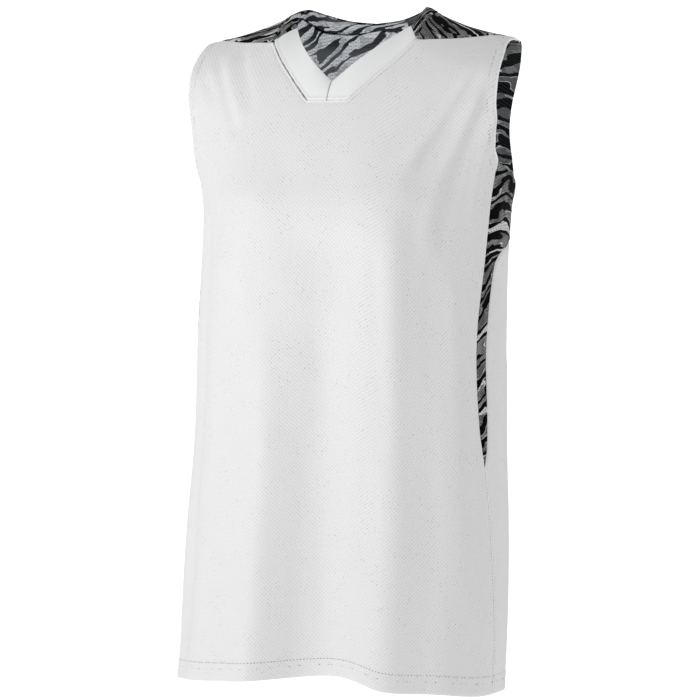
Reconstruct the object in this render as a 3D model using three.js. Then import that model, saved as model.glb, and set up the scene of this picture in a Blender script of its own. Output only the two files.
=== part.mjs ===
// A sleeveless V-neck basketball jersey, filled out as it hangs when worn.
// Millimetres. +X is the wearer's left, -Y the front and +Z up. The origin lies between the
// shoulders, level with the shoulder line beside the neck, which is where a wearer carries it.
//
// The cloth is one smooth surface. A place on the body is an angle round the garment, 0 at the
// centre front and 180 at the centre back, and a height. A place near the shoulders is a distance
// across and a travel along the path up the front, over the shoulder line and down the back.
// Each sewn piece is filled in between its seams, then thickened inwards into a wall.
import * as THREE from "three";

const CLOTH = 1.5;
const COLLAR_CLOTH = 1.8;
const SEAM_GAP = 0.3;

// Heights of the main lines, measured from the shoulder line beside the neck.
const HEM = -662;
const SIDE_PANEL_TIP = -444;
const ARMHOLE_FRONT_FOOT = -149;
const ARMHOLE_BACK_FOOT = -172;
const NECK_FOOT = -91;

// Widths across: the level stretch at the bottom of the V, the neck at the yoke's front seam, and
// the shoulder at the armhole.
const NECK_FOOT_HALF = 21;
const NECK_HALF = 75;
const SHOULDER_HALF = 165;

// Angles of the side seam at the hem, and of the seam that joins side panel and back yoke.
const SIDE_SEAM_AT_HEM = 84;
const SIDE_YOKE_ANGLE = 105;

// How far the cloth drops from the shoulder line while it turns from the front to the back.
const SHOULDER_DROP = 46;
// Travel from the start of that turn to the shoulder line, over to its end, and to the place behind
// the shoulder line where the yoke's shoulder straps begin.
const TO_RIDGE = (Math.PI / 2) * SHOULDER_DROP;
const OVER_RIDGE = 2 * TO_RIDGE;
const STRAP_START = TO_RIDGE + 24;

// The garment's sections: half its width, how far it stands out in front and behind, how round the
// front is, from square at 0 to an ellipse at 1, and how far the section lies off the centre line.
const SECTIONS = [
  { z: -690, halfWidth: 164, front: 148, back: 77, round: 0.82, lean: -6 },
  { z: -600, halfWidth: 164, front: 139, back: 75, round: 0.82, lean: -2 },
  { z: -500, halfWidth: 162, front: 129, back: 74, round: 0.82, lean: -1 },
  { z: -400, halfWidth: 158, front: 123, back: 73, round: 0.82, lean: 0 },
  { z: -300, halfWidth: 156, front: 124, back: 77, round: 0.84, lean: 0 },
  { z: -200, halfWidth: 156, front: 126, back: 87, round: 0.86, lean: 2 },
  { z: -165, halfWidth: 161, front: 118, back: 90, round: 0.82, lean: 2 },
  { z: -120, halfWidth: 176, front: 104, back: 88, round: 0.78, lean: 1 },
  { z: -72, halfWidth: 192, front: 81, back: 80, round: 0.63, lean: 0 },
  { z: -28, halfWidth: 202, front: 50, back: 69, round: 0.55, lean: 0 },
  { z: 10, halfWidth: 206, front: 32, back: 60, round: 0.5, lean: 0 },
];

const BACK_ROUND = 0.9;

// The shoulder line: its height, and how far behind the origin it lies.
const SHOULDER_LINE = [
  { x: 0, z: 34, y: 16 },
  { x: 40, z: 23, y: 18 },
  { x: 60, z: 13, y: 19 },
  { x: 75, z: 5, y: 19 },
  { x: 90, z: -2, y: 17 },
  { x: 110, z: -10, y: 12 },
  { x: 130, z: -16, y: 9 },
  { x: 150, z: -21, y: 5 },
  { x: 165, z: -26, y: 3 },
  { x: 190, z: -44, y: 2 },
];

// Two soft mounds at the bust, on a general figure: the cloth spans them and hangs below.
const BUST = { across: 76, z: -192, width: 40, above: 42, below: 250, rise: 11 };

// The armhole's edge, as distances across at each travel: up the front, and down the back.
const ARMHOLE_FRONT = [
  { travel: -90, x: 155 },
  { travel: -60, x: 156 },
  { travel: -30, x: 158 },
  { travel: 0, x: 160 },
  { travel: 25, x: 161 },
  { travel: 50, x: 160 },
  { travel: 80, x: 165 },
];
const ARMHOLE_BACK = [
  { travel: 96, x: 162 },
  { travel: 120, x: 155 },
  { travel: 145, x: 147 },
  { travel: 170, x: 141 },
  { travel: 195, x: 139 },
  { travel: 220, x: 143 },
  { travel: 250, x: 153 },
];

// The seam in front of the side panel, and the side seam below its tip.
const FRONT_SEAM = [
  { z: HEM, angle: SIDE_SEAM_AT_HEM },
  { z: -610, angle: 82.5 },
  { z: -535, angle: 79.5 },
  { z: -480, angle: 76.5 },
  { z: SIDE_PANEL_TIP, angle: 74 },
  { z: -410, angle: 71 },
  { z: -350, angle: 69.3 },
  { z: -300, angle: 70 },
  { z: -235, angle: 73.5 },
  { z: -185, angle: 74.5 },
  { z: ARMHOLE_FRONT_FOOT, angle: 73 },
];

// The side panel's rear seam: up from its tip, then round to the back yoke.
const REAR_SEAM = [
  { angle: 74, z: SIDE_PANEL_TIP },
  { angle: 76, z: -425 },
  { angle: 76.4, z: -395 },
  { angle: 75.6, z: -335 },
  { angle: 77, z: -295 },
  { angle: 79, z: -265 },
  { angle: 81, z: -245 },
];
const REAR_SEAM_TURN = [
  { angle: 81, z: -245 },
  { angle: 85, z: -236 },
  { angle: 94, z: -227 },
  { angle: SIDE_YOKE_ANGLE, z: -220 },
];

// The yoke's lower seam across the back, and its front seam as a travel at each distance across.
const YOKE_LOWER_SEAM = [
  { angle: SIDE_YOKE_ANGLE, z: -220 },
  { angle: 130, z: -206 },
  { angle: 155, z: -197 },
  { angle: 180, z: -194 },
];
const YOKE_FRONT_SEAM = [
  { x: NECK_HALF, travel: 13 },
  { x: 100, travel: 27 },
  { x: 116, travel: 36 },
  { x: 134, travel: 49 },
  { x: 150, travel: 65 },
  { x: SHOULDER_HALF, travel: 79 },
];

// The neck seam: the slope of the V, then over the shoulder, then across the back.
const NECK_SLOPE = [
  { x: NECK_FOOT_HALF, z: NECK_FOOT },
  { x: 43, z: -67 },
  { x: 62, z: -46 },
  { x: NECK_HALF, z: -28 },
];
const NECK_SIDE = [
  { x: NECK_HALF, travel: 13 },
  { x: 76, travel: 43 },
  { x: 75.5, travel: TO_RIDGE },
  { x: 71, travel: STRAP_START },
];
const NECK_BACK = [
  { x: 71, travel: STRAP_START },
  { x: 60, travel: 117 },
  { x: 34, travel: 133 },
  { x: 0, travel: 138 },
];

// The collar's free edge, from the bottom of the V round to the centre back.
const COLLAR_EDGE_FRONT = [
  { x: 0, y: -78, z: -72 },
  { x: 23, y: -70, z: -51 },
  { x: 43, y: -49, z: -31 },
  { x: 60, y: -19, z: -12 },
];
const COLLAR_EDGE_BACK = [
  { x: 60, y: -19, z: -12 },
  { x: 64, y: 0, z: 3 },
  { x: 63, y: 19, z: 11 },
  { x: 51, y: 37, z: 8 },
  { x: 28, y: 47, z: 2 },
  { x: 0, y: 50, z: -1 },
];
// How far the collar's middle stands out from a flat ribbon.
const COLLAR_ROLL = 1.5;

// The largest folds, each a soft ridge, or a trough where its depth is negative, from its upper end
// to its lower end. Angles round the garment, and heights.
const FOLDS = [
  { angle: 5, z: -205, toAngle: 7, toZ: -690, width: 32, toWidth: 40, depth: -7, toDepth: -24 },
  { angle: 0, z: -290, toAngle: 4, toZ: -690, width: 24, toWidth: 34, depth: -4, toDepth: -10 },
  { angle: 30, z: -190, toAngle: 31, toZ: -690, width: 15, toWidth: 19, depth: 4, toDepth: 7 },
  { angle: 46, z: -230, toAngle: 47, toZ: -690, width: 12, toWidth: 16, depth: -1, toDepth: -2 },
  { angle: -17, z: -280, toAngle: -17, toZ: -690, width: 14, toWidth: 17, depth: 2, toDepth: 9 },
  { angle: -42, z: -210, toAngle: -42, toZ: -690, width: 16, toWidth: 24, depth: 2, toDepth: 4 },
  { angle: -56, z: -195, toAngle: -58, toZ: -690, width: 10, toWidth: 15, depth: -3, toDepth: -4 },
  // Drag lines from the left armhole to the bust, and short ones below the right shoulder.
  { angle: 56, z: -60, toAngle: 30, toZ: -150, width: 9, toWidth: 13, depth: 4, toDepth: 2 },
  { angle: 50, z: -52, toAngle: 26, toZ: -132, width: 8, toWidth: 11, depth: -3, toDepth: -1 },
  { angle: 57, z: -90, toAngle: 37, toZ: -160, width: 8, toWidth: 11, depth: -3, toDepth: -1 },
  { angle: -53, z: -36, toAngle: -41, toZ: -95, width: 8, toWidth: 10, depth: -4, toDepth: -1 },
  { angle: -39, z: -30, toAngle: -33, toZ: -62, width: 7, toWidth: 9, depth: -3, toDepth: -1 },
  // Broad flutes down the back.
  { angle: 150, z: -200, toAngle: 148, toZ: -690, width: 16, toWidth: 24, depth: 2, toDepth: 8 },
  { angle: -152, z: -190, toAngle: -150, toZ: -690, width: 16, toWidth: 24, depth: 2, toDepth: 8 },
  { angle: 176, z: -250, toAngle: 178, toZ: -690, width: 16, toWidth: 26, depth: -3, toDepth: -9 },
  { angle: 120, z: -240, toAngle: 122, toZ: -690, width: 12, toWidth: 18, depth: -2, toDepth: -6 },
  { angle: -122, z: -250, toAngle: -120, toZ: -690, width: 12, toWidth: 18, depth: -2, toDepth: -6 },
];
// The height over which a fold grows and fades, and the distance round the body for each degree.
const FOLD_FADE = 45;
const MM_PER_DEGREE = 2.6;

// How the hem departs from level round the garment.
const HEM_LIFT = [
  { angle: -180, lift: 0 },
  { angle: -90, lift: -1 },
  { angle: -70, lift: -1 },
  { angle: -42, lift: 4 },
  { angle: -23, lift: 8 },
  { angle: -4, lift: 13 },
  { angle: 12, lift: 16 },
  { angle: 20, lift: 15 },
  { angle: 31, lift: 6 },
  { angle: 53, lift: 2 },
  { angle: 75, lift: -3 },
  { angle: 105, lift: -2 },
  { angle: 180, lift: 0 },
];

// Steps along each stretch of seam. Neighbouring pieces share them, so their edges match.
const STEPS = {
  neckFoot: 2,
  neckSlope: 5,
  neckSide: 6,
  neckBack: 6,
  shoulder: 8,
  sideSeam: 12,
  rearSeam: 10,
  rearSeamTurn: 4,
  sideYoke: 3,
  armholeFront: 9,
  armholeBack: 9,
  sidePanel: 5,
  collar: 3,
};

const { lerp, clamp, smoothstep, degToRad, radToDeg } = THREE.MathUtils;

// A column of a table at a place, on a smooth curve through the table's rows.
function lookUp(table, key, column, place) {
  const last = table.length - 1;
  if (place <= table[0][key]) return table[0][column];
  if (place >= table[last][key]) return table[last][column];
  const i = table.findIndex((row) => row[key] > place) - 1;
  const slope = (k) => {
    const before = table[Math.max(k - 1, 0)];
    const after = table[Math.min(k + 1, last)];
    return (after[column] - before[column]) / (after[key] - before[key]);
  };
  const span = table[i + 1][key] - table[i][key];
  const t = (place - table[i][key]) / span;
  const leave = (t * t * t - 2 * t * t + t) * span * slope(i);
  const arrive = (t * t * t - t * t) * span * slope(i + 1);
  return lerp(table[i][column], table[i + 1][column], 3 * t * t - 2 * t * t * t) + leave + arrive;
}

const section = (column, z) => lookUp(SECTIONS, "z", column, z);
const shoulder = (column, x) => lookUp(SHOULDER_LINE, "x", column, Math.abs(x));
const wrapped = (angle) => ((angle + 540) % 360) - 180;

// How far the bust's mounds stand out at a point on the front.
function bustRise(x, z) {
  const across = (Math.abs(x) - BUST.across) / BUST.width;
  const along = (z - BUST.z) / (z > BUST.z ? BUST.above : BUST.below);
  return BUST.rise * Math.exp(-across * across - along * along);
}

// How far the folds move the cloth out.
function foldRise(angle, z) {
  let rise = 0;
  for (const fold of FOLDS) {
    const t = clamp((fold.z - z) / (fold.z - fold.toZ), 0, 1);
    const off = wrapped(angle - lerp(fold.angle, fold.toAngle, t)) * MM_PER_DEGREE;
    const share = off / lerp(fold.width, fold.toWidth, t);
    const fade = smoothstep(fold.z - z, 0, FOLD_FADE) * (1 - smoothstep(fold.toZ - z, 0, FOLD_FADE));
    rise += lerp(fold.depth, fold.toDepth, t) * Math.exp(-share * share) * fade;
  }
  return rise;
}

// The garment's outline at an angle and height, before it turns over the shoulder.
function outline(angle, z) {
  const sine = Math.sin(degToRad(angle));
  const cosine = Math.cos(degToRad(angle));
  const x = section("halfWidth", z) * sine;
  const behind = section("back", z) * Math.pow(Math.abs(cosine), BACK_ROUND);
  const before = section("front", z) * Math.pow(Math.abs(cosine), section("round", z));
  const y = cosine < 0 ? behind : -before - bustRise(x, z);
  const fold = foldRise(angle, z);
  return new THREE.Vector3(x + section("lean", z) + fold * sine, y - fold * cosine, z);
}

// A point on the body, where the hem's departure from level fades out above the side panel's tip.
function onBody(angle, z) {
  const below = clamp((SIDE_PANEL_TIP - z) / (SIDE_PANEL_TIP - HEM), 0, 1);
  return outline(angle, z + below * lookUp(HEM_LIFT, "angle", "lift", wrapped(angle)));
}

// The height at a distance across and a travel, and the travel that reaches a height.
function heightAt(x, travel) {
  const foot = shoulder("z", x) - SHOULDER_DROP;
  if (travel <= 0) return foot + travel;
  if (travel >= OVER_RIDGE) return foot - (travel - OVER_RIDGE);
  return foot + SHOULDER_DROP * Math.sin(travel / SHOULDER_DROP);
}
function travelAt(x, z, front) {
  const rise = z - (shoulder("z", x) - SHOULDER_DROP);
  const travel = rise < 0 ? rise : SHOULDER_DROP * Math.asin(Math.min(1, rise / SHOULDER_DROP));
  return front ? travel : OVER_RIDGE - travel;
}

// A point by its distance across and its travel over the shoulder.
function onShoulder(x, travel) {
  const z = heightAt(x, travel);
  const sine = clamp(x / section("halfWidth", z), -1, 1);
  const angle = radToDeg(Math.asin(sine));
  const side = outline(travel < TO_RIDGE ? angle : 180 - angle, z);
  const turning = travel > 0 && travel < OVER_RIDGE;
  const share = turning ? Math.abs(Math.cos(travel / SHOULDER_DROP)) : 1;
  return new THREE.Vector3(lerp(x, side.x, share), lerp(shoulder("y", x), side.y, share), z);
}

// A point of the cloth with its outward normal, from the surface on either side of it.
const NEAR = 0.5;
function clothPoint(surface, [a, b]) {
  const alongA = surface(a + NEAR, b).sub(surface(a - NEAR, b));
  const alongB = surface(a, b + NEAR).sub(surface(a, b - NEAR));
  return { point: surface(a, b), normal: alongA.cross(alongB).normalize() };
}

// Places at equal steps: along a straight stretch, and along a smooth line through a table's rows.
function straightLine(from, to, steps) {
  return Array.from({ length: steps + 1 }, (_, i) => from.map((v, k) => lerp(v, to[k], i / steps)));
}
function smoothLine(rows, steps) {
  const points = rows.map((row) => new THREE.Vector3(...Object.values(row)));
  const line = new THREE.CatmullRomCurve3(points, false, "centripetal");
  return line.getSpacedPoints(steps).map((p) => p.toArray().slice(0, Object.keys(rows[0]).length));
}
// Moves a line's places from angle and height to distance across and travel.
function toShoulder(line, front) {
  return line.map(([angle, z]) => {
    const x = section("halfWidth", z) * Math.sin(degToRad(angle));
    return [x, travelAt(x, z, front)];
  });
}

// Fills a patch between four lines of places: lower and upper run across, and inner and outer rise.
function fill(lower, upper, inner, outer) {
  const columns = lower.length - 1;
  const rows = inner.length - 1;
  return inner.map((_, j) =>
    lower.map((_, i) => {
      if (j === 0) return lower[i];
      if (j === rows) return upper[i];
      if (i === 0) return inner[j];
      if (i === columns) return outer[j];
      const s = (upper[i][0] - upper[0][0]) / (upper[columns][0] - upper[0][0]);
      const t = j / rows;
      return [0, 1].map((k) => {
        const across = lerp(inner[j][k], outer[j][k], s);
        const along = lerp(lower[i][k], upper[i][k], t);
        const low = lerp(lower[0][k], lower[columns][k], s);
        const high = lerp(upper[0][k], upper[columns][k], s);
        return across + along - lerp(low, high, t);
      });
    }),
  );
}

// Puts a patch's places on the cloth, on the wearer's left (1), right (-1) or both (0).
function place(patch, surface, side) {
  const half = (sign) => patch.map((row) => row.map(([a, b]) => clothPoint(surface, [sign * a, b])));
  if (side !== 0) return half(side);
  const right = half(-1);
  return half(1).map((row, j) => [...right[j].slice(1).reverse(), ...row]);
}

// A piece of cloth from its grids of points. The edge is drawn in by half the seam gap, and the
// sheet is thickened inwards.
function clothWall(name, grids, thickness, material) {
  const points = [];
  const normals = [];
  const faces = [];
  const found = new Map();
  const indexOf = ({ point, normal }) => {
    const key = point.toArray().map((v) => Math.round(v * 1000)).join();
    if (!found.has(key)) {
      found.set(key, points.length);
      points.push(point.clone());
      normals.push(normal.clone());
    }
    return found.get(key);
  };
  for (const grid of grids) {
    const gridFaces = [];
    for (let i = 0; i + 1 < grid.length; i++) {
      for (let j = 0; j + 1 < grid[i].length; j++) {
        const [a, b] = [grid[i][j], grid[i][j + 1]].map(indexOf);
        const [d, c] = [grid[i + 1][j], grid[i + 1][j + 1]].map(indexOf);
        gridFaces.push([a, b, c], [a, c, d]);
      }
    }
    const whole = gridFaces.filter(([a, b, c]) => a !== b && b !== c && c !== a);
    faces.push(...(facesOut(whole[0], points, normals) ? whole : whole.map((face) => face.reverse())));
  }
  const rim = rimOf(faces);
  drawIn(points, normals, rim, SEAM_GAP / 2);
  const inner = points.map((p, i) => p.clone().addScaledVector(normals[i], -thickness));
  const count = points.length;
  const triangles = [...faces, ...faces.map(([a, b, c]) => [c + count, b + count, a + count])];
  for (const [a, b] of rim) triangles.push([b, a, a + count], [b, a + count, b + count]);
  const geometry = new THREE.BufferGeometry();
  const flat = [...points, ...inner].flatMap((p) => p.toArray());
  geometry.setAttribute("position", new THREE.Float32BufferAttribute(flat, 3));
  geometry.setIndex(triangles.flat());
  geometry.computeVertexNormals();
  const mesh = new THREE.Mesh(geometry, material);
  mesh.name = name;
  return mesh;
}

function facesOut([a, b, c], points, normals) {
  const ab = points[b].clone().sub(points[a]);
  const ac = points[c].clone().sub(points[a]);
  return ab.cross(ac).dot(normals[a]) > 0;
}

// The edges that only one face uses, each in that face's direction.
function rimOf(faces) {
  const uses = new Map();
  for (const [a, b, c] of faces) {
    for (const edge of [[a, b], [b, c], [c, a]]) uses.set(edge.join(), edge);
  }
  return [...uses.values()].filter(([a, b]) => !uses.has([b, a].join()));
}

// Moves the rim's points in along the sheet, square to the edges that meet there.
const SHARPEST = 0.006;
function drawIn(points, normals, rim, distance) {
  const inwards = new Map();
  for (const [a, b] of rim) {
    const along = points[b].clone().sub(points[a]).normalize();
    for (const end of [a, b]) {
      const inward = normals[end].clone().cross(along).normalize();
      inwards.set(end, [...(inwards.get(end) ?? []), inward]);
    }
  }
  for (const [i, directions] of inwards) {
    const mean = directions.reduce((sum, v) => sum.add(v), new THREE.Vector3());
    mean.divideScalar(directions.length);
    points[i].addScaledVector(mean, distance / Math.max(mean.lengthSq(), SHARPEST));
  }
}

// Shared seams, each sampled once for the wearer's left.
const neckSlope = smoothLine(NECK_SLOPE, STEPS.neckSlope).map(([x, z]) => [x, travelAt(x, z, true)]);
const neckFoot = straightLine([0, NECK_FOOT], [NECK_FOOT_HALF, NECK_FOOT], STEPS.neckFoot).map(
  ([x, z]) => [x, travelAt(x, z, true)],
);
const neckFront = [...neckFoot.slice(0, -1), ...neckSlope];
const neckSide = smoothLine(NECK_SIDE, STEPS.neckSide);
const neckBack = smoothLine(NECK_BACK, STEPS.neckBack);
const yokeFront = straightLine([NECK_HALF, 0], [SHOULDER_HALF, 0], STEPS.shoulder).map(([x]) => [
  x,
  lookUp(YOKE_FRONT_SEAM, "x", "travel", x),
]);
neckFront[neckFront.length - 1] = yokeFront[0];
neckSide[0] = yokeFront[0];

const sideSeam = straightLine([0, HEM], [0, SIDE_PANEL_TIP], STEPS.sideSeam).map(([, z]) => [
  lookUp(FRONT_SEAM, "z", "angle", z),
  z,
]);
const rearSeam = smoothLine(REAR_SEAM, STEPS.rearSeam);
const rearSeamTurn = smoothLine(REAR_SEAM_TURN, STEPS.rearSeamTurn);
const sideYoke = straightLine(
  [SIDE_YOKE_ANGLE, -220],
  [SIDE_YOKE_ANGLE, ARMHOLE_BACK_FOOT],
  STEPS.sideYoke,
);
const sidePanelRear = [...rearSeam, ...rearSeamTurn.slice(1), ...sideYoke.slice(1)];
const sidePanelFront = straightLine(
  [0, SIDE_PANEL_TIP],
  [0, ARMHOLE_FRONT_FOOT],
  sidePanelRear.length - 1,
).map(([, z]) => [lookUp(FRONT_SEAM, "z", "angle", z), z]);
const yokeLower = straightLine([180, 0], [SIDE_YOKE_ANGLE, 0], STEPS.neckBack + STEPS.shoulder).map(
  ([angle]) => [angle, lookUp(YOKE_LOWER_SEAM, "angle", "z", angle)],
);

// An armhole edge between two places, bowed as its table's distances across are.
function armholeEdge(table, from, to, steps) {
  return straightLine(from, to, steps).map(([x, travel], i) => {
    const ends = [from, to].map((end) => lookUp(table, "travel", "x", end[1]));
    return [x + lookUp(table, "travel", "x", travel) - lerp(...ends, i / steps), travel];
  });
}

// The front panel: from the hem up to the foot of the armholes, then to the neck and yoke seams.
function frontPanel() {
  const upper = [...neckFront, ...yokeFront.slice(1)];
  const outer = [...sideSeam, ...sidePanelFront.slice(1)];
  const [footAngle, footZ] = outer[outer.length - 1];
  const shares = toBodyAngles(upper, footZ).map((angle, _, all) => angle / all[all.length - 1]);
  const hem = shares.map((share) => [share * SIDE_SEAM_AT_HEM, HEM]);
  const level = shares.map((share) => [share * footAngle, footZ]);
  const centre = outer.map(([, z]) => [0, z]);
  const body = fill(hem, level, centre, outer);
  const start = toShoulder(level, true);
  const neckLine = straightLine(start[0], upper[0], STEPS.armholeFront);
  const [foot, top] = [start[start.length - 1], upper[upper.length - 1]];
  const edge = armholeEdge(ARMHOLE_FRONT, foot, top, STEPS.armholeFront);
  const chest = fill(start, upper, neckLine, edge);
  return [...place(body, onBody, 0), ...place(chest, onShoulder, 0).slice(1)];
}
function toBodyAngles(line, z) {
  return line.map(([x]) => radToDeg(Math.asin(Math.min(1, x / section("halfWidth", z)))));
}

// The back panel: from the hem up to the yoke's lower seam, and out to the side panels.
function backPanel() {
  const upper = [...yokeLower, ...[...rearSeamTurn].reverse().slice(1)];
  const outer = [...sideSeam, ...rearSeam.slice(1)];
  const [cornerAngle, cornerZ] = upper[upper.length - 1];
  const hem = upper.map(([angle]) => {
    const share = (180 - angle) / (180 - cornerAngle);
    return [lerp(180, SIDE_SEAM_AT_HEM, share), HEM];
  });
  const centre = outer.map(([, z]) => [180, lerp(HEM, upper[0][1], (z - HEM) / (cornerZ - HEM))]);
  return place(fill(hem, upper, centre, outer), onBody, 0);
}

// The back yoke: across the back up to the neck, with a strap over each shoulder.
function backYoke() {
  const level = yokeLower.map(([angle]) => [angle, ARMHOLE_BACK_FOOT]);
  const centre = straightLine(yokeLower[0], level[0], STEPS.sideYoke);
  const body = fill(yokeLower, level, centre, sideYoke);
  const start = toShoulder(level, false);
  const strapEdge = lookUp(ARMHOLE_BACK, "travel", "x", STRAP_START);
  const strapFoot = straightLine([neckBack[0][0], STRAP_START], [strapEdge, STRAP_START], STEPS.shoulder);
  const upper = [...[...neckBack].reverse(), ...strapFoot.slice(1)];
  const spine = straightLine(start[0], upper[0], STEPS.armholeBack);
  const edge = armholeEdge(ARMHOLE_BACK, start[start.length - 1], upper[upper.length - 1], STEPS.armholeBack);
  const back = fill(start, upper, spine, edge);
  const tip = straightLine(strapFoot[STEPS.shoulder], yokeFront[STEPS.shoulder], STEPS.neckSide);
  const strap = fill(strapFoot, yokeFront, [...neckSide].reverse(), tip);
  const across = [...place(body, onBody, 0), ...place(back, onShoulder, 0).slice(1)];
  return [across, place(strap, onShoulder, 1), place(strap, onShoulder, -1)];
}

// A side panel: from its tip up to the armhole, between its front and rear seams.
function sidePanel(side) {
  const tip = Array.from({ length: STEPS.sidePanel + 1 }, () => sidePanelFront[0]);
  const last = sidePanelRear.length - 1;
  const armhole = straightLine(sidePanelFront[last], sidePanelRear[last], STEPS.sidePanel);
  return [place(fill(tip, armhole, sidePanelFront, sidePanelRear), onBody, side)];
}

// The collar on one side, as rows of points from the neck seam to its free edge, from the bottom of
// the V round to the centre back. At the centre its normals lie in the plane of the centre line.
function collarRows(side) {
  const seam = [...neckFront, ...neckSide.slice(1), ...neckBack.slice(1)];
  const edge = [
    ...smoothLine(COLLAR_EDGE_FRONT, neckFront.length - 1),
    ...smoothLine(COLLAR_EDGE_BACK, STEPS.neckSide + STEPS.neckBack).slice(1),
  ];
  const outer = seam.map(([x, travel]) => clothPoint(onShoulder, [side * x, travel]));
  const inner = edge.map(([x, y, z]) => new THREE.Vector3(side * x, y, z));
  const last = outer.length - 1;
  const lerped = (i, t) => outer[i].point.clone().lerp(inner[i], t);
  return outer.map((seamPoint, i) => {
    const row = [];
    for (let k = 0; k <= STEPS.collar; k++) {
      const t = k / STEPS.collar;
      const along = lerped(Math.min(i + 1, last), t).sub(lerped(Math.max(i - 1, 0), t));
      const across = inner[i].clone().sub(seamPoint.point);
      const normal = along.cross(across).multiplyScalar(side).normalize();
      if (k === 0) normal.copy(seamPoint.normal);
      if (i === 0 || i === last) normal.setX(0).normalize();
      const point = lerped(i, t).addScaledVector(normal, COLLAR_ROLL * 4 * t * (1 - t));
      row.push({ point, normal });
    }
    return row;
  });
}
const collarLeft = collarRows(1);
const collarRight = collarRows(-1);
const backStart = neckFront.length - 1;
const collarBack = [...collarLeft.slice(backStart), ...collarRight.slice(backStart, -1).reverse()];

const whiteKnit = new THREE.MeshStandardMaterial({ color: 0xe6e8e7, roughness: 0.8, metalness: 0 });
const whiteBand = new THREE.MeshStandardMaterial({ color: 0xeef2f1, roughness: 0.7, metalness: 0 });
const printedMesh = new THREE.MeshStandardMaterial({ color: 0x4a4a4c, roughness: 0.75, metalness: 0 });

const jersey = new THREE.Group();
jersey.add(clothWall("front_panel", [frontPanel()], CLOTH, whiteKnit));
jersey.add(clothWall("back_panel", [backPanel()], CLOTH, whiteKnit));
jersey.add(clothWall("back_yoke", backYoke(), CLOTH, printedMesh));
jersey.add(clothWall("side_panel_left", sidePanel(1), CLOTH, printedMesh));
jersey.add(clothWall("side_panel_right", sidePanel(-1), CLOTH, printedMesh));
jersey.add(clothWall("collar_front_left", [collarLeft.slice(0, backStart + 1)], COLLAR_CLOTH, whiteBand));
jersey.add(clothWall("collar_front_right", [collarRight.slice(0, backStart + 1)], COLLAR_CLOTH, whiteBand));
jersey.add(clothWall("collar_back", [collarBack], COLLAR_CLOTH, printedMesh));

export default jersey;
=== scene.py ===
import math

import bmesh
import bpy
import numpy as np
from mathutils import Matrix, Vector
from mathutils.kdtree import KDTree


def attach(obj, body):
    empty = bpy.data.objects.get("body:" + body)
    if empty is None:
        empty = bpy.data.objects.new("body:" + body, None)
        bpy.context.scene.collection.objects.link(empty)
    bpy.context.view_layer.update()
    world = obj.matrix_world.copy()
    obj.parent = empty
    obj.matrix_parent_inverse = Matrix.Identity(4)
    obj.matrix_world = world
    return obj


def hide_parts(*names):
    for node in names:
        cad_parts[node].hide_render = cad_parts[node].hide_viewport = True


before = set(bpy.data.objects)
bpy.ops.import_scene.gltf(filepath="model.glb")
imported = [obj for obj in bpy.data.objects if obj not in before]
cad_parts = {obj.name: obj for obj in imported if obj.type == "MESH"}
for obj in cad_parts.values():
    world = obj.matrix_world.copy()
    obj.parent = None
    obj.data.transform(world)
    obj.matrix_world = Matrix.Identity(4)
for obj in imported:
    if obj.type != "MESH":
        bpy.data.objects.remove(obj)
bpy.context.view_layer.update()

MM = 0.001


# The garment's measures.

HEM = -662
SIDE_PANEL_TIP = -444
ARMHOLE_FRONT_FOOT = -149
ARMHOLE_BACK_FOOT = -172
NECK_FOOT = -91
NECK_FOOT_HALF = 21
NECK_HALF = 75
SHOULDER_HALF = 165
SIDE_SEAM_AT_HEM = 84
SIDE_YOKE_ANGLE = 105
SHOULDER_DROP = 46
TO_RIDGE = math.pi / 2 * SHOULDER_DROP
OVER_RIDGE = 2 * TO_RIDGE
STRAP_START = TO_RIDGE + 24
BACK_ROUND = 0.9
COLLAR_ROLL = 1.5
FOLD_FADE = 45
MM_PER_DEGREE = 2.6
NEAR = 0.5


def table(columns, *rows):
    """A table's columns by their names."""
    return dict(zip(columns.split(), np.array(rows, float).T))


SECTIONS = table(
    "z half_width front back round lean",
    (-690, 164, 148, 77, 0.82, -6),
    (-600, 164, 139, 75, 0.82, -2),
    (-500, 162, 129, 74, 0.82, -1),
    (-400, 158, 123, 73, 0.82, 0),
    (-300, 156, 124, 77, 0.84, 0),
    (-200, 156, 126, 87, 0.86, 2),
    (-165, 161, 118, 90, 0.82, 2),
    (-120, 176, 104, 88, 0.78, 1),
    (-72, 192, 81, 80, 0.63, 0),
    (-28, 202, 50, 69, 0.55, 0),
    (10, 206, 32, 60, 0.5, 0),
)
SHOULDER_LINE = table(
    "x z y",
    (0, 34, 16), (40, 23, 18), (60, 13, 19), (75, 5, 19), (90, -2, 17),
    (110, -10, 12), (130, -16, 9), (150, -21, 5), (165, -26, 3), (190, -44, 2),
)
BUST_ACROSS, BUST_Z, BUST_WIDTH, BUST_ABOVE, BUST_BELOW, BUST_RISE = 76, -192, 40, 42, 250, 11
ARMHOLE_FRONT = table(
    "travel x", (-90, 155), (-60, 156), (-30, 158), (0, 160), (25, 161), (50, 160), (80, 165)
)
ARMHOLE_BACK = table(
    "travel x", (96, 162), (120, 155), (145, 147), (170, 141), (195, 139), (220, 143), (250, 153)
)
FRONT_SEAM = table(
    "z angle",
    (HEM, SIDE_SEAM_AT_HEM), (-610, 82.5), (-535, 79.5), (-480, 76.5), (SIDE_PANEL_TIP, 74),
    (-410, 71), (-350, 69.3), (-300, 70), (-235, 73.5), (-185, 74.5), (ARMHOLE_FRONT_FOOT, 73),
)
REAR_SEAM = (
    (74, SIDE_PANEL_TIP), (76, -425), (76.4, -395), (75.6, -335), (77, -295), (79, -265), (81, -245),
)
REAR_SEAM_TURN = (81, -245), (85, -236), (94, -227), (SIDE_YOKE_ANGLE, -220)
YOKE_LOWER_SEAM = table(
    "angle z", (SIDE_YOKE_ANGLE, -220), (130, -206), (155, -197), (180, -194)
)
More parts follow.
